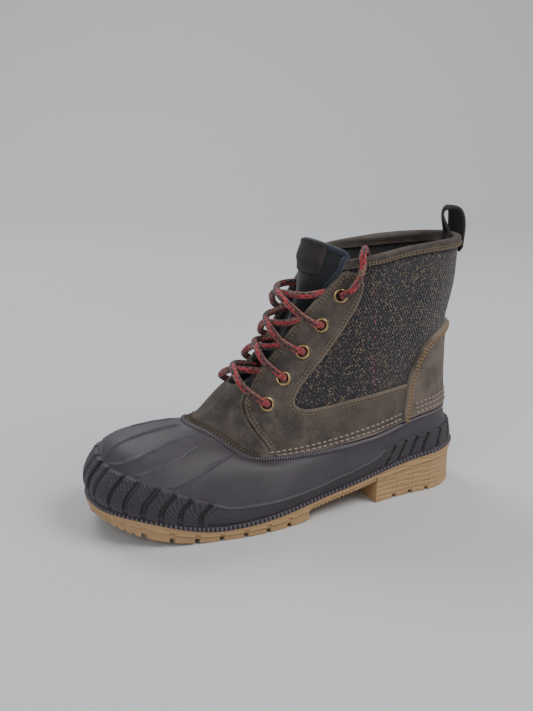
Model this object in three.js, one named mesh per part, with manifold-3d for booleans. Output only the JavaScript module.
// Lace-up winter boot for the left foot: woven and leather upper in a rubber shell, on a gum sole.
// Millimetres. +X points to the toe, +Y to the outer side of the left foot, +Z up.
import * as THREE from 'three';
import { mergeVertices } from 'three/addons/utils/BufferGeometryUtils.js';
import Module from 'manifold-3d';

const wasm = await Module();
wasm.setup();

// Driving sizes of the inside form
const footLength = 268;
const ballHalfWidth = 45;
const heelHalfWidth = 26;
const heelSeat = 32;
const toeSeat = 21;
const seatDip = 15.2;
const shaftRise = 153;

// Walls, counted outwards from the inside form
const gap = 0.3;
const leatherGap = 0.55;
const liningWall = 1.5;
const shaftWall = 2.8;
const shellWall = 1.8;
const bumperRise = 1.4;
const beadRise = 1.3;
const ribRise = 0.9;
const leatherWall = 1.5;
const counterWall = 1.9;
const bindingWall = 1.3;
const bindingDrop = 0.62;
const tongueWall = 2.6;
const tongueDepth = 5.9;
const tongueSeat = 0.6;
const patchWall = 1.2;
const insoleThickness = 4;

// Sole
const soleMargin = 4.6;
const weltMargin = 4.3;
const weltInside = 1.2;
const weltDrop = 1;
const weltGap = 1;
const soleSideStep = 0.9;
const shankThickness = 5.5;
const toeLift = 13;
const lugPitch = 16.6;
const lugStart = 134.5;
const lugDepth = 3;
const lugGap = 3.4;
const lugCount = 8;
const heelBreast = 76;
const heelNotchPitch = 14.7;
const heelNotchWidth = 3.6;
const heelNotchDepth = 2.6;
const heelGrooveDepth = 0.7;
const heelTaper = 1.2;

// Fittings
const eyeletBore = 3.3;
const eyeletBarrel = 4.1;
const eyeletFlange = 5;
const eyeletLip = 0.9;
const laceRadius = 2.4;
const loopThickness = 2.2;
const loopHeight = 20;
const grooveHalf = 0.0055;
const grooveDepth = 1.1;

const shellInside = liningWall + gap;
const shellOutside = shellInside + shellWall;
const bumperOutside = shellOutside + bumperRise;
const flangeOutside = shaftWall - 0.15;
const overlayInside = shaftWall + leatherGap;
const overlayOutside = overlayInside + leatherWall;
const soleTopDrop = weltDrop + 2.5 * gap;

// Rings of the inside form from the feather line up to the collar.
// back and front: shares of footLength. backRise and frontRise: shares of shaftRise above the
// heel seat and the toe seat. dip: share of seatDip. heel: share of heelHalfWidth. waist and
// ball, for the outer and inner side of the foot, and shift: shares of ballHalfWidth.
const ringColumns = [
  'back', 'backRise', 'front', 'frontRise', 'dip', 'dipAt', 'heel', 'waistOut', 'waistIn',
  'ballOut', 'ballIn', 'backRound', 'frontRound', 'power', 'shift',
];
const ringRows = [
  [0.000, 0.000, 1.000, 0.000, 1.00, 0.73, 1.00, 0.745, 0.58, 1.02, 0.97, 0.12, 0.18, 2.2, -0.29],
  [0.004, 0.041, 1.002, 0.081, 1.23, 0.70, 1.01, 0.80, 0.61, 1.04, 1.02, 0.12, 0.14, 2.2, -0.28],
  [0.009, 0.080, 0.970, 0.153, 1.48, 0.71, 0.99, 0.83, 0.62, 1.03, 1.02, 0.12, 0.12, 2.2, -0.27],
  [0.019, 0.117, 0.940, 0.218, 1.42, 0.67, 0.99, 0.81, 0.635, 0.95, 0.95, 0.13, 0.20, 2.2, -0.22],
  [0.024, 0.151, 0.862, 0.257, 1.26, 0.65, 0.97, 0.79, 0.635, 0.84, 0.83, 0.14, 0.32, 2.2, -0.18],
  [0.027, 0.181, 0.761, 0.280, 1.26, 0.82, 0.96, 0.78, 0.635, 0.75, 0.71, 0.17, 0.41, 2.2, -0.147],
  [0.033, 0.290, 0.728, 0.316, 1.02, 0.68, 0.97, 0.715, 0.62, 0.667, 0.627, 0.20, 0.44, 2.1, -0.093],
  [0.037, 0.406, 0.679, 0.401, 0.63, 0.66, 1.00, 0.675, 0.62, 0.604, 0.584, 0.22, 0.46, 2.1, -0.067],
  [0.037, 0.590, 0.552, 0.590, 0.22, 0.60, 1.07, 0.65, 0.645, 0.573, 0.578, 0.28, 0.50, 2.0, -0.044],
  [0.013, 0.778, 0.489, 0.836, -0.09, 0.55, 1.12, 0.62, 0.66, 0.605, 0.633, 0.32, 0.50, 2.0, -0.022],
  [0.001, 0.922, 0.470, 0.930, -0.13, 0.50, 0.90, 0.55, 0.59, 0.60, 0.70, 0.28, 0.50, 2.0, 0.00],
  [-0.005, 1.000, 0.459, 0.985, -0.15, 0.50, 0.75, 0.50, 0.53, 0.60, 0.755, 0.24, 0.50, 2.0, 0.00],
];
const topLevel = ringRows.length - 1;

// Levels at which things start and end on the form
const seatLevel = 0.25;
const bumperTop = 2;
const beadLevel = 4.92;
const leatherHem = 5.22;
const flangeTop = 5.72;
const lowerBandTop = 7;
const throatBottom = 7.35;
const stayTop = 10.22;
const wallTop = 10.9;

// Half of the throat and the leather edges, as v at a level; the inner side is their mirror image
const throatEdge = [
  [7.35, 0.446], [7.6, 0.450], [7.93, 0.451], [8.3, 0.445], [8.6, 0.427], [8.9, 0.408],
  [9.25, 0.391], [9.7, 0.377], [10.22, 0.366], [11, 0.352],
];
const quarterFront = [
  [5.2, 0.332], [5.7, 0.353], [6.03, 0.374], [6.4, 0.390], [6.73, 0.405], [7.0, 0.419],
  [7.35, 0.434], [7.6, 0.446],
];
const stayBack = [
  [7, 0.322], [7.15, 0.339], [7.34, 0.345], [7.7, 0.343], [8.1, 0.335], [8.48, 0.323],
  [8.77, 0.314], [9.1, 0.311], [9.5, 0.315], [9.9, 0.324], [10.1, 0.336], [10.22, 0.352],
];
const counterHalf = 0.166;
const counterEdge = [
  [7.35, counterHalf], [7.65, 0.160], [7.88, 0.141], [8.02, 0.103], [8.1, 0.06],
];
const patchGap = 0.0016;

const eyeletSpots = [
  { level: 7.02, v: 0.378 }, { level: 7.54, v: 0.384 }, { level: 8.06, v: 0.385 },
  { level: 8.52, v: 0.371 }, { level: 9.1, v: 0.353 },
];
const bumperGrooves = [0.4835, 0.4565, 0.4345, 0.4125, 0.393, 0.3735, 0.3525];
const heelGrooves = [0.160, 0.1435, 0.126, 0.108, 0.084];
const grooveSlant = 0.011;
// Raised ribs of the toe: v at each of the rib levels
const ribLines = [
  [0.500, 0.500, 0.497, 0.494],
  [0.478, 0.449, 0.441, 0.446],
  [0.436, 0.408, 0.402, 0.406],
  [0.397, 0.375, 0.365, 0.362],
];
const ribLevels = [2.1, 2.9, 3.8, 4.7];

const side = { outer: 1, inner: -1 };

function smoothStep(from, to, x) {
  return THREE.MathUtils.smoothstep(x, from, to);
}

// Catmull-Rom through the ring table at a level
function ringAt(level) {
  const u = THREE.MathUtils.clamp(level, 0, topLevel);
  const i = Math.min(Math.floor(u), topLevel - 1);
  const t = u - i;
  const ring = {};
  ringColumns.forEach((name, k) => {
    const p1 = ringRows[i][k];
    const p2 = ringRows[i + 1][k];
    const p0 = i > 0 ? ringRows[i - 1][k] : 2 * p1 - p2;
    const p3 = i < topLevel - 1 ? ringRows[i + 2][k] : 2 * p2 - p1;
    const cubic = (3 * p1 - p0 - 3 * p2 + p3) * t + (2 * p0 - 5 * p1 + 4 * p2 - p3);
    ring[name] = 0.5 * (2 * p1 + ((p2 - p0) + cubic * t) * t);
  });
  return ring;
}

// Point of the inside form: level 0 at the feather line to 11 at the collar,
// v 0 at the heel, 0.25 on the outer side, 0.5 at the toe, 0.75 on the inner side
function formPoint(level, v) {
  const ring = ringAt(level);
  const turn = ((v % 1) + 1) % 1;
  const outer = turn <= 0.5;
  const q = outer ? turn * 2 : 2 - turn * 2;
  const s = (1 - Math.cos(Math.PI * q)) / 2;
  const heel = ring.heel * heelHalfWidth;
  const waist = (outer ? ring.waistOut : ring.waistIn) * ballHalfWidth;
  const ball = (outer ? ring.ballOut : ring.ballIn) * ballHalfWidth;
  const half = heel + (waist - heel) * smoothStep(0.14, 0.42, s)
    + (ball - waist) * smoothStep(0.4, 0.7, s);
  const atBack = THREE.MathUtils.clamp((ring.backRound - s) / ring.backRound, 0, 1);
  const atFront = THREE.MathUtils.clamp((s - 1 + ring.frontRound) / ring.frontRound, 0, 1);
  const backCurve = Math.sqrt(1 - atBack ** 2);
  const frontCurve = Math.max(1 - atFront ** ring.power, 0) ** (1 / ring.power);
  const bump = s < ring.dipAt ? s / ring.dipAt : (1 - s) / (1 - ring.dipAt);
  const backHeight = heelSeat + ring.backRise * shaftRise;
  const frontHeight = toeSeat + ring.frontRise * shaftRise;
  return new THREE.Vector3(
    (ring.back + (ring.front - ring.back) * s) * footLength,
    (outer ? 1 : -1) * half * backCurve * frontCurve
      + ring.shift * ballHalfWidth * smoothStep(0.45, 1, s),
    backHeight + (frontHeight - backHeight) * s
      - ring.dip * seatDip * Math.sin(Math.PI / 2 * bump) ** 2,
  );
}

function formNormal(level, v) {
  const step = 0.001;
  const l = THREE.MathUtils.clamp(level, 2 * step, topLevel - 2 * step);
  const up = formPoint(l + step, v).sub(formPoint(l - step, v));
  const along = formPoint(l, v + step).sub(formPoint(l, v - step));
  return up.cross(along).normalize();
}

function onForm(level, v, out) {
  return formPoint(level, v).addScaledVector(formNormal(level, v), out);
}

// Point of the feather line moved sideways in plan by a margin, at a height above the line
function inPlan(v, margin, lift) {
  const step = 0.001;
  const along = formPoint(0, v + step).sub(formPoint(0, v - step));
  const outwards = new THREE.Vector3(along.y, -along.x, 0).normalize().multiplyScalar(-margin);
  const point = formPoint(0, v).add(outwards);
  point.z += lift;
  return point;
}

function tableAt(table, x) {
  const last = table.length - 1;
  if (x <= table[0][0]) return table[0][1];
  if (x >= table[last][0]) return table[last][1];
  const i = table.findIndex((row) => row[0] > x) - 1;
  const [x0, y0] = table[i];
  const [x1, y1] = table[i + 1];
  return y0 + (y1 - y0) * (x - x0) / (x1 - x0);
}

function mirrorV(v, hand) {
  return hand === side.outer ? v : 1 - v;
}

function steps(from, to, count) {
  return Array.from({ length: count + 1 }, (_, i) => from + (to - from) * i / count);
}

// Closed mesh from corner lists: shared corners are merged, flat ones dropped, faces turned out
function closedGeometry(corners, triangles) {
  const keyOf = (p) => [p.x, p.y, p.z].map((c) => Math.round(c * 1e4)).join(' ');
  const seen = new Map();
  const places = [];
  const index = corners.map((p) => {
    const key = keyOf(p);
    if (!seen.has(key)) {
      seen.set(key, places.length / 3);
      places.push(p.x, p.y, p.z);
    }
    return seen.get(key);
  });
  const faces = triangles.map((t) => t.map((i) => index[i]))
    .filter(([a, b, c]) => a !== b && b !== c && a !== c);
  const corner = (i) => new THREE.Vector3(places[3 * i], places[3 * i + 1], places[3 * i + 2]);
  const volume = faces.reduce((sum, [a, b, c]) => sum + corner(a).dot(corner(b).cross(corner(c))), 0);
  const turned = volume < 0 ? faces.map(([a, b, c]) => [a, c, b]) : faces;
  const geometry = new THREE.BufferGeometry();
  geometry.setAttribute('position', new THREE.Float32BufferAttribute(places, 3));
  geometry.setIndex(turned.flat());
  return geometry;
}

// Sheet of four-sided cells between an inside and an outside surface, closed along its open edges
class Sheet {
  constructor() {
    this.keys = new Map();
    this.nodes = [];
    this.cells = [];
  }

  node(level, v) {
    const key = `${Math.round(level * 1e5)} ${Math.round((((v % 1) + 1) % 1) * 1e5) % 1e5}`;
    if (!this.keys.has(key)) {
      this.keys.set(key, this.nodes.length);
      this.nodes.push([level, v]);
    }
    return this.keys.get(key);
  }

  // rows: one list of [level, v] for each row, all of one length
  grid(rows) {
    const ids = rows.map((row) => row.map(([level, v]) => this.node(level, v)));
    for (let i = 0; i + 1 < ids.length; i += 1) {
      for (let j = 0; j + 1 < ids[i].length; j += 1) {
        const cell = [ids[i][j], ids[i][j + 1], ids[i + 1][j + 1], ids[i + 1][j]];
        if (new Set(cell).size > 2) this.cells.push(cell);
      }
    }
    return this;
  }

  solid(inside, outside) {
    const count = this.nodes.length;
    const corners = [
      ...this.nodes.map(([level, v]) => inside(level, v)),
      ...this.nodes.map(([level, v]) => outside(level, v)),
    ];
    const triangles = [];
    const edges = new Set(this.cells.flatMap((c) => c.map((a, k) => `${a} ${c[(k + 1) % 4]}`)));
    for (const cell of this.cells) {
      const [a, b, c, d] = cell;
      triangles.push([a, b, c], [a, c, d]);
      triangles.push([a + count, c + count, b + count], [a + count, d + count, c + count]);
      cell.forEach((from, k) => {
        const to = cell[(k + 1) % 4];
        if (!edges.has(`${to} ${from}`)) {
          triangles.push([from, from + count, to + count], [from, to + count, to]);
        }
      });
    }
    return closedGeometry(corners, triangles);
  }
}

function between(inside, outside) {
  const offset = (o) => (typeof o === 'function' ? o : () => o);
  return [
    (level, v) => onForm(level, v, offset(inside)(level, v)),
    (level, v) => onForm(level, v, offset(outside)(level, v)),
  ];
}

// Solid through a row of closed rings of points, with flat ends, or joined end to start
function loft(rings, joined = false) {
  const size = rings[0].length;
  const corners = rings.flat();
  const triangles = [];
  const last = joined ? rings.length : rings.length - 1;
  for (let i = 0; i < last; i += 1) {
    const next = (i + 1) % rings.length;
    for (let j = 0; j < size; j += 1) {
      const k = (j + 1) % size;
      const [a, b, c, d] = [i * size + j, i * size + k, next * size + k, next * size + j];
      triangles.push([a, b, c], [a, c, d]);
    }
  }
  if (!joined) {
    for (const [ring, turned] of [[0, true], [rings.length - 1, false]]) {
      const flat = rings[ring].map((p) => p.clone());
      const centre = flat.reduce((sum, p) => sum.add(p), new THREE.Vector3()).divideScalar(size);
      corners.push(centre);
      for (let j = 0; j < size; j += 1) {
        const pair = [ring * size + j, ring * size + (j + 1) % size];
        triangles.push([...(turned ? pair.reverse() : pair), corners.length - 1]);
      }
    }
  }
  return closedGeometry(corners, triangles);
}

// Columns that the hollow pieces share: round the heel between the throat edges, and over the toe
const throatFoot = throatEdge[0][1];
const halfColumns = [
  0.022, 0.052, 0.095, 0.148, 0.19, 0.242, 0.286, 0.322, 0.345, 0.369, 0.394, 0.42, throatFoot,
];
const columns = [...[...halfColumns].reverse().map((v) => -v), 0, ...halfColumns];
const toeColumns = [throatFoot, 0.464, 0.482, 0.5, 0.518, 0.536, 1 - throatFoot];
// Rows that the upper shares with the shell and with the eyelet stays
const shellRows = [
  seatLevel, 0.9, bumperTop - 0.03, bumperTop + 0.1, 2.9, 3.8, beadLevel - 0.22, beadLevel,
  leatherHem, flangeTop,
];
const stayRows = [throatBottom, 7.65, 7.95, 8.3, 8.75, 9.2, 9.7, stayTop];

function throatShare(level) {
  return tableAt(throatEdge, level) / throatFoot;
}

function toSolid(geometry) {
  const bare = geometry.clone();
  bare.deleteAttribute('normal');
  bare.deleteAttribute('uv');
  const merged = mergeVertices(bare);
  return new wasm.Manifold(new wasm.Mesh({
    numProp: 3,
    vertProperties: new Float32Array(merged.attributes.position.array),
    triVerts: new Uint32Array(merged.index.array),
  }));
}

function fromSolid(solid) {
  const mesh = solid.getMesh();
  const geometry = new THREE.BufferGeometry();
  geometry.setAttribute('position', new THREE.BufferAttribute(mesh.vertProperties, 3));
  geometry.setIndex(new THREE.BufferAttribute(mesh.triVerts, 1));
  return geometry;
}

function joinAll(geometries) {
  return geometries.map(toSolid).reduce((sum, next) => sum.add(next));
}

function cutAll(body, cutters) {
  return cutters.map(toSolid).reduce((rest, cutter) => rest.subtract(cutter), body);
}

// Upper: a hollow boot of lining and woven cloth, thin inside the rubber shell
function upperGeometry() {
  const bodyRows = [
    ...shellRows, 6.02, 6.5, lowerBandTop,
  ];
  const throatRows = [...stayRows, topLevel - bindingDrop, wallTop];
  const skin = new Sheet();
  skin.grid([...bodyRows, ...throatRows].map((l) => columns.map((v) => [l, v * throatShare(l)])));
  skin.grid([...bodyRows, throatBottom].map((l) => toeColumns.map((v) => [l, v])));
  const outside = (level) => liningWall
    + (shaftWall - liningWall) * smoothStep(flangeTop + 0.1, flangeTop + 0.3, level);
  return skin.solid(...between(0, outside));
}

// Rubber shell with its bumper step, bead and the flange under the leather
function shellGeometry() {
  const atToe = (v) => smoothStep(0.175, 0.16, Math.abs(v - 0.5));
  const atHeel = (v) => smoothStep(0.19, 0.175, Math.min(v, 1 - v));
  const bandRise = (v) => bumperRise * Math.max(0.45, atToe(v), atHeel(v));
  const outside = (level, v) => {
    const turn = ((v % 1) + 1) % 1;
    const band = smoothStep(bumperTop + 0.1, bumperTop, level) * smoothStep(-0.3, 0.7, level);
    const bead = Math.max(0, 1 - Math.abs(level - beadLevel) / 0.22);
    const flange = smoothStep(beadLevel, leatherHem, level);
    const skin = shellOutside + band * bandRise(turn) + bead * beadRise;
    return skin + (flangeOutside - skin) * flange;
  };
  const around = [...columns.filter((v) => v >= 0), ...toeColumns.slice(1, -1), ...columns
    .filter((v) => v <= 0).map((v) => v + 1)];
  const skin = new Sheet().grid(shellRows.map((level) => around.map((v) => [level, v])));
  const wall = skin.solid(...between(shellInside, outside));
  const ribs = ribLines.flatMap((line, n) => (n === 0 ? [side.outer] : [side.outer, side.inner])
    .map((hand) => ribGeometry(line, hand)));
  const hands = [side.outer, side.inner];
  const toeCuts = hands.flatMap((hand) => bumperGrooves.map((v) => grooveGeometry(v, 0, hand)));
  const heelCuts = hands.flatMap((hand) => heelGrooves.map((v) => (
    grooveGeometry(v, grooveSlant, hand))));
  return fromSolid(cutAll(joinAll([wall, ...ribs]), [...toeCuts, ...heelCuts]));
}

function ribGeometry(line, hand) {
  const half = 0.0045;
  const rows = ribLevels.map((level, i) => (
    [line[i] - half, line[i] + half].map((edge) => [level, mirrorV(edge, hand)])));
  return new Sheet().grid(rows).solid(...between(shellInside + 0.5, shellOutside + ribRise));
}

function grooveGeometry(v, slant, hand) {
  const ends = [0.55, 1.86];
  const rows = ends.map((level, i) => [v - grooveHalf, v + grooveHalf].map((edge) => (
    [level, mirrorV(edge + slant * (1 - i), hand)])));
  return new Sheet().grid(rows).solid(...between(bumperOutside - grooveDepth, bumperOutside + 2));
}

function vampGeometry() {
  const levels = [leatherHem + 0.07, flangeTop, 6.02, 6.5, lowerBandTop, throatBottom - 0.02];
  const over = [...halfColumns.filter((v) => v > 0.32), ...toeColumns.slice(1, -1),
    ...[...halfColumns].reverse().filter((v) => v > 0.32).map((v) => 1 - v)];
  const rows = levels.map((level) => {
    const edge = tableAt(quarterFront, level) + patchGap;
    return over.map((v) => [level, THREE.MathUtils.clamp(v, edge, 1 - edge)]);
  });
  return new Sheet().grid(rows).solid(...between(overlayInside, overlayOutside - 0.3));
}

// Quarter: the lower leather band with the eyelet stay rising from its front
function quarterGeometry(hand) {
  const bandLevels = [leatherHem, flangeTop, 6.02, 6.5, lowerBandTop];
  const stayLevels = [lowerBandTop, ...stayRows.slice(0, -1), 9.95, 10.1, stayTop];
  const corner = stayBack[0][1];
  const across = [...halfColumns, corner].sort((a, b) => a - b);
  const frontAt = (level) => (level < 7.6 ? tableAt(quarterFront, level)
    : tableAt(throatEdge, level));
  const row = (level, back) => across.map((v) => {
    const inside = THREE.MathUtils.clamp(v * throatShare(level), back, frontAt(level));
    return [level, mirrorV(inside, hand)];
  });
  const band = bandLevels.map((level) => row(level, counterHalf + patchGap));
  const stay = stayLevels.map((level) => row(level, tableAt(stayBack, level)));
  return new Sheet().grid(band).grid(stay).solid(...between(overlayInside, overlayOutside));
}

function counterGeometry() {
  const levels = [leatherHem, flangeTop, 6.02, 6.5, lowerBandTop, throatBottom, 7.65, 7.88, 8.02, 8.1];
  const rows = levels.map((level) => {
    const half = tableAt(counterEdge, level);
    return columns.filter((v) => Math.abs(v) < 0.2)
      .map((v) => [level, THREE.MathUtils.clamp(v, -half, half)]);
  });
  return new Sheet().grid(rows).solid(...between(overlayInside, overlayInside + counterWall));
}

// Binding folded over the collar edge, from one throat corner round the heel to the other
function bindingGeometry() {
  const outerFace = overlayInside;
  const profile = [
    [topLevel - bindingDrop, outerFace], [topLevel - bindingDrop, outerFace + bindingWall],
    [topLevel - 0.08, outerFace + bindingWall], [topLevel, outerFace],
    [topLevel, -gap], [topLevel - 0.08, -gap - bindingWall],
    [topLevel - bindingDrop, -gap - bindingWall], [topLevel - bindingDrop, -gap],
    [wallTop + 0.04, -gap], [wallTop + 0.04, outerFace],
  ];
  return loft(columns.map((v) => profile.map(([level, out]) => (
    onForm(level, v * throatShare(level), out)))));
}

// Tongue: a padded sheet inside the throat, standing above the collar
const tongueFoot = 6.7;
const tongueRise = 15;

function tonguePoint(along, across, out) {
  const level = tongueFoot + (topLevel - tongueFoot) * Math.min(along, 1);
  const half = 0.07 + 0.085 * smoothStep(0.1, 0.95, along);
  const sunk = (tongueDepth - tongueSeat) * smoothStep(0.06, 0.24, along);
  const point = onForm(level, 0.5 + half * across, out - tongueSeat - sunk);
  const above = Math.max(along - 1, 0) * 4 * tongueRise;
  const droop = 5.5 * across ** 2 * smoothStep(1, 1.25, along);
  return point.add(new THREE.Vector3(-0.2 * above, 0, above * 0.98 - droop));
}

function tongueGeometry() {
  const alongs = [0, 0.07, 0.15, 0.23, 0.4, 0.6, 0.8, 0.93, 1, 1.12, 1.25];
  const acrosses = steps(-1, 1, 8);
  return new Sheet().grid(alongs.map((a) => acrosses.map((b) => [a, b / 4 + 0.5]))).solid(
    (a, b) => tonguePoint(a, (b - 0.5) * 4, -tongueWall),
    (a, b) => tonguePoint(a, (b - 0.5) * 4, 0),
  );
}

function tonguePatchGeometry() {
  const alongs = [0.93, 1, 1.12, 1.24];
  const rows = alongs.map((a) => steps(-0.32, 0.32, 4).map((b) => [a, b / 4 + 0.5]));
  return new Sheet().grid(rows).solid(
    (a, b) => tonguePoint(a, (b - 0.5) * 4, gap),
    (a, b) => tonguePoint(a, (b - 0.5) * 4, gap + patchWall),
  );
}

// Plan outline of the sole: y on a side at an x, from the feather line moved out by a margin
function soleOutline(margin) {
  const trace = (hand) => steps(0, 0.5, 160)
    .map((v) => inPlan(mirrorV(v, hand), margin, 0))
    .map((p) => [p.x, p.y])
    .filter(([x], i, all) => i === 0 || x > all[i - 1][0]);
  const outer = trace(side.outer);
  const inner = trace(side.inner);
  const reach = { from: Math.max(outer[0][0], inner[0][0]) };
  reach.to = Math.min(outer[outer.length - 1][0], inner[inner.length - 1][0]);
  return { outer: (x) => tableAt(outer, x), inner: (x) => tableAt(inner, x), ...reach };
}

function seatHeight(x) {
  const ring = ringAt(0);
  const s = THREE.MathUtils.clamp(x / footLength, 0, 1);
  const bump = s < ring.dipAt ? s / ring.dipAt : (1 - s) / (1 - ring.dipAt);
  return heelSeat + (toeSeat - heelSeat) * s - seatDip * Math.sin(Math.PI / 2 * bump) ** 2;
}

const lugEnd = lugStart + lugCount * lugPitch;

// Underside of the sole plate: level under the ball, lifted at the toe, thin under the arch
function undersideAt(x) {
  if (x < lugStart) return seatHeight(x) - soleTopDrop - shankThickness;
  const flatEnd = lugStart + 0.5 * lugCount * lugPitch;
  const toe = Math.max(0, (x - flatEnd) / (footLength + soleMargin - flatEnd));
  const arch = Math.max(0, 1 - (x - lugStart) / (1.2 * lugPitch));
  return toeLift * toe ** 1.9 + 1.2 * arch ** 2;
}

function isLugGap(x) {
  const cell = (x - lugStart) / lugPitch;
  const nearest = Math.round(cell);
  return nearest > 0 && nearest < lugCount && Math.abs(cell - nearest) * lugPitch < lugGap / 2;
}

function solePlateGeometry() {
  const outline = soleOutline(soleMargin);
  const edge = 0.15;
  const length = outline.to - outline.from;
  const rough = steps(0, 1, 22).map((t) => outline.from + length * (1 - Math.cos(Math.PI * t)) / 2);
  const notches = Array.from({ length: lugCount - 1 }, (_, i) => lugStart + (i + 1) * lugPitch)
    .flatMap((x) => [-1, 1].flatMap((end) => (
      [x + end * (lugGap / 2 - edge), x + end * (lugGap / 2 + edge)])));
  const lugEdge = [lugStart - edge, lugStart + edge];
  const fixed = [...notches, ...lugEdge];
  const stations = [...rough.filter((x) => fixed.every((f) => Math.abs(f - x) > 1.5)), ...fixed]
    .sort((a, b) => a - b);
  stations[0] = outline.from + edge;
  stations[stations.length - 1] = outline.to - edge;
  return loft(stations.map((x) => {
    const top = seatHeight(x) - soleTopDrop;
    const bottom = Math.min(undersideAt(x) + (isLugGap(x) ? lugDepth : 0), top - 2);
    const shoulder = Math.max(top - 3.2, bottom + 0.8);
    const yOut = outline.outer(x);
    const yIn = outline.inner(x);
    const narrow = Math.min(soleSideStep, (yOut - yIn) / 4);
    return [
      [yOut, top], [yOut, shoulder], [yOut - narrow, shoulder - 0.5], [yOut - narrow, bottom],
      [yIn + narrow, bottom], [yIn + narrow, shoulder - 0.5], [yIn, shoulder], [yIn, top],
    ].map(([y, z]) => new THREE.Vector3(x, y, z));
  }));
}

// Heel block: stacked rings of its outline, drawn in at the grooves of its sides
function heelBlockGeometry() {
  const outline = soleOutline(soleMargin);
  const ringPoints = (inset, heightOf) => {
    const from = outline.from + inset + 0.2;
    const to = heelBreast - Math.min(inset, 0.3);
    const xs = steps(0, 1, 9).map((t) => to + (from - to) * Math.sin(Math.PI / 2 * t));
    const outer = xs.map((x) => [x, Math.max(outline.outer(x) - inset, 1.5)]);
    const inner = xs.map((x) => [x, Math.min(outline.inner(x) + inset, -1.5)]).reverse();
    return [...outer, ...inner].map(([x, y]) => new THREE.Vector3(x, y, heightOf(x)));
  };
  const topOf = (x) => seatHeight(x) - soleTopDrop - 2.5;
  const rings = [[0, 0.2 + heelTaper], [0.04, heelTaper]];
  for (const at of [0.36, 0.6, 0.84]) {
    const taper = heelTaper * (1 - at);
    rings.push([at - 0.045, taper], [at - 0.02, taper + heelGrooveDepth]);
    rings.push([at + 0.02, taper + heelGrooveDepth], [at + 0.045, taper]);
  }
  rings.push([1, 0.8]);
  const block = loft(rings.map(([share, inset]) => (
    ringPoints(inset + 0.1, (x) => share * topOf(x)))));
  const halfBreadth = heelHalfWidth + soleMargin + 5;
  const notches = [0, 1, 2].map((i) => {
    const box = new THREE.BoxGeometry(heelNotchWidth, 2 * halfBreadth, 2 * heelNotchDepth);
    return box.translate(heelBreast - 1.15 * heelNotchPitch - i * heelNotchPitch, 0, 0);
  });
  return fromSolid(cutAll(toSolid(block), notches));
}

function weltGeometry() {
  const around = [...columns.slice(0, -1), ...toeColumns.slice(0, -1)];
  return loft(around.map((v) => {
    const foot = formPoint(0, v).z;
    const innerTop = onForm(seatLevel, v, 0).z - foot - weltGap;
    const outerTop = Math.max(onForm(seatLevel, v, weltMargin).z - foot - weltGap, 0.3);
    return [
      inPlan(v, -weltInside, -weltDrop), inPlan(v, weltMargin, -weltDrop),
      inPlan(v, weltMargin, outerTop), inPlan(v, -weltInside, innerTop),
    ];
  }), true);
}

// Insole: a slab inside the welt, with its edge under the lining's foot
function insoleGeometry() {
  const centre = (v) => new THREE.Vector3(formPoint(0, v).x, 0, 0);
  const rim = -weltInside - 2 * gap;
  const shares = [1, 0.3];
  const place = (v, share, lift) => {
    const edge = inPlan(v, rim, lift);
    const y = centre(v).y + (edge.y - centre(v).y) * share;
    return new THREE.Vector3(edge.x, y, edge.z);
  };
  const around = [...columns.slice(0, -1), ...toeColumns.slice(0, -1)];
  const under = -weltDrop + gap;
  const rows = [
    ...[...shares].reverse().map((share) => [share, under]),
    ...shares.map((share) => [share, under + insoleThickness]),
  ];
  return loft(rows.map(([share, lift]) => around.map((v) => place(v, share, lift))));
}

function turnTo(geometry, level, v, out) {
  const normal = formNormal(level, v);
  const turn = new THREE.Quaternion().setFromUnitVectors(new THREE.Vector3(0, 1, 0), normal);
  const place = onForm(level, v, out);
  return geometry.applyQuaternion(turn).translate(place.x, place.y, place.z);
}

function eyeletGeometry({ level, v }) {
  const height = overlayOutside + leatherGap;
  const profile = [
    [eyeletBore, 0.2], [eyeletBarrel, 0.2], [eyeletBarrel, height], [eyeletFlange, height],
    [(eyeletFlange + eyeletBore) / 2, height + eyeletLip], [eyeletBore, 0.2],
  ].map(([r, y]) => new THREE.Vector2(r, y));
  return turnTo(new THREE.LatheGeometry(profile, 10), level, v, 0);
}

function eyeletHole({ level, v }) {
  const r = eyeletBarrel + gap;
  return turnTo(new THREE.CylinderGeometry(r, r, 16, 10), level, v, 3);
}

function handed(spot, hand) {
  return { level: spot.level, v: mirrorV(spot.v, hand) };
}

const allSpots = [side.outer, side.inner].flatMap((hand) => eyeletSpots.map((s) => handed(s, hand)));

function tube(points, sides = 8, spacing = 8) {
  const curve = new THREE.CatmullRomCurve3(points, false, 'centripetal');
  const circle = new THREE.Shape();
  for (let i = 0; i < sides; i += 1) {
    const angle = 2 * Math.PI * i / sides;
    const [x, y] = [laceRadius * Math.cos(angle), laceRadius * Math.sin(angle)];
    if (i === 0) circle.moveTo(x, y);
    else circle.lineTo(x, y);
  }
  circle.closePath();
  return new THREE.ExtrudeGeometry(circle, {
    steps: Math.ceil(curve.getLength() / spacing), extrudePath: curve, bevelEnabled: false,
  });
}

// Height at which a lace stands clear of an eyelet
const laceMouth = overlayOutside + leatherGap + eyeletLip + 1.5 * gap;

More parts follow.
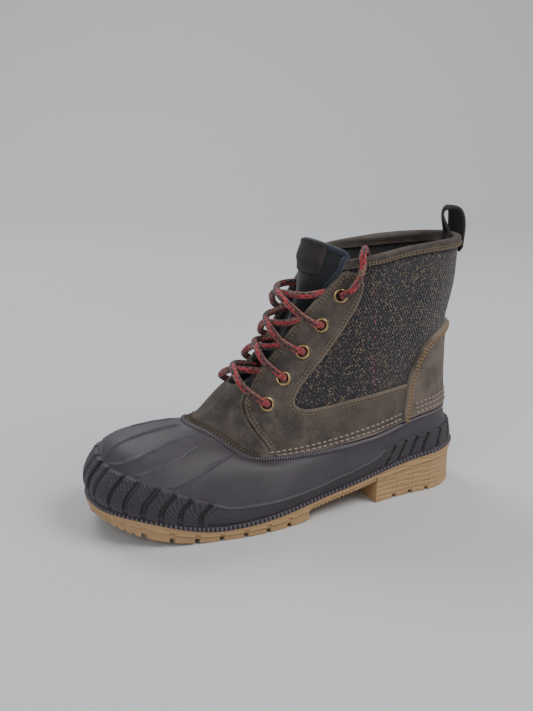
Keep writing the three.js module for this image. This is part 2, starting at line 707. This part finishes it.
// One run of lace: out of an eyelet and over the throat, down towards the opposite edge
function laceRun(row, hand, lift) {
  const from = handed(eyeletSpots[row], hand);
  const to = handed(eyeletSpots[row + 1], -hand);
  const over = laceMouth + laceRadius;
  const towards = (from.v - to.v) * 0.07;
  const reach = Math.max(to.level - 0.35 * (to.level - from.level), throatBottom + 0.24);
  const near = mirrorV(0.5 - 0.35 * (0.5 - tableAt(throatEdge, reach)), -hand);
  return [
    onForm(from.level, from.v, laceMouth),
    onForm(from.level, from.v, laceMouth + 1),
    onForm(from.level + 0.1, from.v - towards, over + 1.4),
    onForm(0.5 * (from.level + to.level), 0.5, over + lift),
    onForm(reach, near, overlayOutside),
    onForm(reach + 0.02, near, 0),
  ];
}

function laceCrossGeometry(row) {
  const runs = [laceRun(row, side.outer, 3), laceRun(row, side.inner, 0.4)];
  return fromSolid(joinAll(runs.map((points) => tube(points, 8, 10))));
}

// Free end of the lace: out of the top outer eyelet, up the shaft and over the collar
function laceEndPoints() {
  const top = eyeletSpots[eyeletSpots.length - 1];
  const over = laceMouth + laceRadius;
  return [
    onForm(top.level, top.v, laceMouth),
    onForm(top.level + 0.22, top.v - 0.012, over + 1.6),
    onForm(top.level + 0.8, top.v - 0.022, over + 0.6),
    onForm(topLevel - 0.5, top.v - 0.024, over - 0.4),
    onForm(topLevel, top.v - 0.02, over - 1).add(new THREE.Vector3(0, 0, 3)),
    onForm(topLevel, top.v - 0.03, 1).add(new THREE.Vector3(0, 0, 6.5)),
    onForm(topLevel, top.v - 0.04, -5).add(new THREE.Vector3(0, 0, 2)),
    onForm(topLevel - 0.5, top.v - 0.05, -6.2),
    onForm(topLevel - 1.1, top.v - 0.055, -5.4),
  ];
}

// Pull loop: a strap stitched outside and inside the back of the collar
const loopHalfV = { outer: 0.039, inner: 0.03 };
const loopOut = {
  foot: shaftWall + gap + loopThickness / 2 + 0.4,
  outer: overlayInside + bindingWall + gap + loopThickness / 2 + 0.2,
  inner: -4 * gap - bindingWall - loopThickness / 2,
};

function loopPoint(along, across) {
  const [outerV, innerV] = [loopHalfV.outer * across, loopHalfV.inner * across];
  if (along < 0.25) {
    const level = topLevel - 1 + along * 4;
    const lifted = smoothStep(0.02, 0.07, along);
    return onForm(level, outerV, loopOut.foot + (loopOut.outer - loopOut.foot) * lifted);
  }
  if (along > 0.75) return onForm(topLevel - (along - 0.75) * 4, innerV, loopOut.inner);
  const from = onForm(topLevel, outerV, loopOut.outer);
  const to = onForm(topLevel, innerV, loopOut.inner);
  const angle = Math.PI * (along - 0.25) * 2;
  const bulge = Math.cos(angle) * (1 + 0.35 * Math.sin(angle));
  const point = from.clone().add(to).multiplyScalar(0.5)
    .addScaledVector(from.sub(to), bulge / 2);
  point.z += (loopHeight - loopThickness / 2) * Math.sin(angle);
  return point;
}

function loopGeometry() {
  const face = (turn) => (along, across) => {
    const step = 0.004;
    const ahead = loopPoint(along + step, across).sub(loopPoint(along - step, across));
    const normal = new THREE.Vector3(-ahead.z, 0, ahead.x).normalize();
    return loopPoint(along, across).addScaledVector(normal, turn * loopThickness / 2);
  };
  const rows = [0, 0.06, 0.15, ...steps(0.25, 0.75, 12), 0.85, 1];
  const inside = rows.map((along) => steps(-1, 1, 4).map((b) => [along, b / 4 + 0.5]));
  const at = (turn) => (along, v) => face(turn)(along, (v - 0.5) * 4);
  return new Sheet().grid(inside).solid(at(-1), at(1));
}

const finish = {
  gum: { color: 0xb98b55, roughness: 0.62, metalness: 0 },
  rubber: { color: 0x37343a, roughness: 0.55, metalness: 0 },
  leather: { color: 0x57493f, roughness: 0.75, metalness: 0 },
  pale: { color: 0x6b5c4e, roughness: 0.8, metalness: 0 },
  woven: { color: 0x25242a, roughness: 0.95, metalness: 0 },
  felt: { color: 0x1b1b20, roughness: 0.95, metalness: 0 },
  brass: { color: 0x9a7b4a, roughness: 0.35, metalness: 0.9 },
  lace: { color: 0x8c3a3c, roughness: 0.85, metalness: 0 },
  strap: { color: 0x2b2422, roughness: 0.7, metalness: 0 },
};

const boot = new THREE.Group();
const cords = [];

function add(name, geometry, look, isCord = false) {
  const mesh = new THREE.Mesh(geometry, new THREE.MeshStandardMaterial(finish[look]));
  mesh.name = name;
  boot.add(mesh);
  if (isCord) cords.push(mesh);
}

const holes = (hand) => eyeletSpots.map((spot) => eyeletHole(handed(spot, hand)));
const handNames = { outer: side.outer, inner: side.inner };

add('outsole', fromSolid(joinAll([solePlateGeometry(), heelBlockGeometry()])), 'gum');
add('welt', weltGeometry(), 'rubber');
add('insole', insoleGeometry(), 'felt');
add('shell', shellGeometry(), 'rubber');
add('upper', fromSolid(cutAll(toSolid(upperGeometry()), allSpots.map(eyeletHole))), 'woven');
add('vamp', vampGeometry(), 'leather');
for (const [name, hand] of Object.entries(handNames)) {
  add(`quarter_${name}`, fromSolid(cutAll(toSolid(quarterGeometry(hand)), holes(hand))), 'leather');
}
add('counter', counterGeometry(), 'pale');
add('collar_binding', bindingGeometry(), 'leather');
add('tongue', tongueGeometry(), 'felt');
add('tongue_patch', tonguePatchGeometry(), 'leather');
add('pull_loop', loopGeometry(), 'strap');
for (const [name, hand] of Object.entries(handNames)) {
  eyeletSpots.forEach((spot, i) => {
    add(`eyelet_${name}_${i + 1}`, eyeletGeometry(handed(spot, hand)), 'brass');
  });
}
for (let row = 0; row + 1 < eyeletSpots.length; row += 1) {
  add(`lace_cross_${row + 1}`, laceCrossGeometry(row), 'lace');
}
add('lace_end', tube(laceEndPoints()), 'lace', true);

// The origin lies under the middle of the boot without its loose lace end
const box = new THREE.Box3();
for (const mesh of boot.children) {
  if (!cords.includes(mesh)) box.union(new THREE.Box3().setFromObject(mesh));
}
const middle = box.getCenter(new THREE.Vector3());
boot.position.set(-middle.x, -middle.y, -box.min.z);

export default boot;
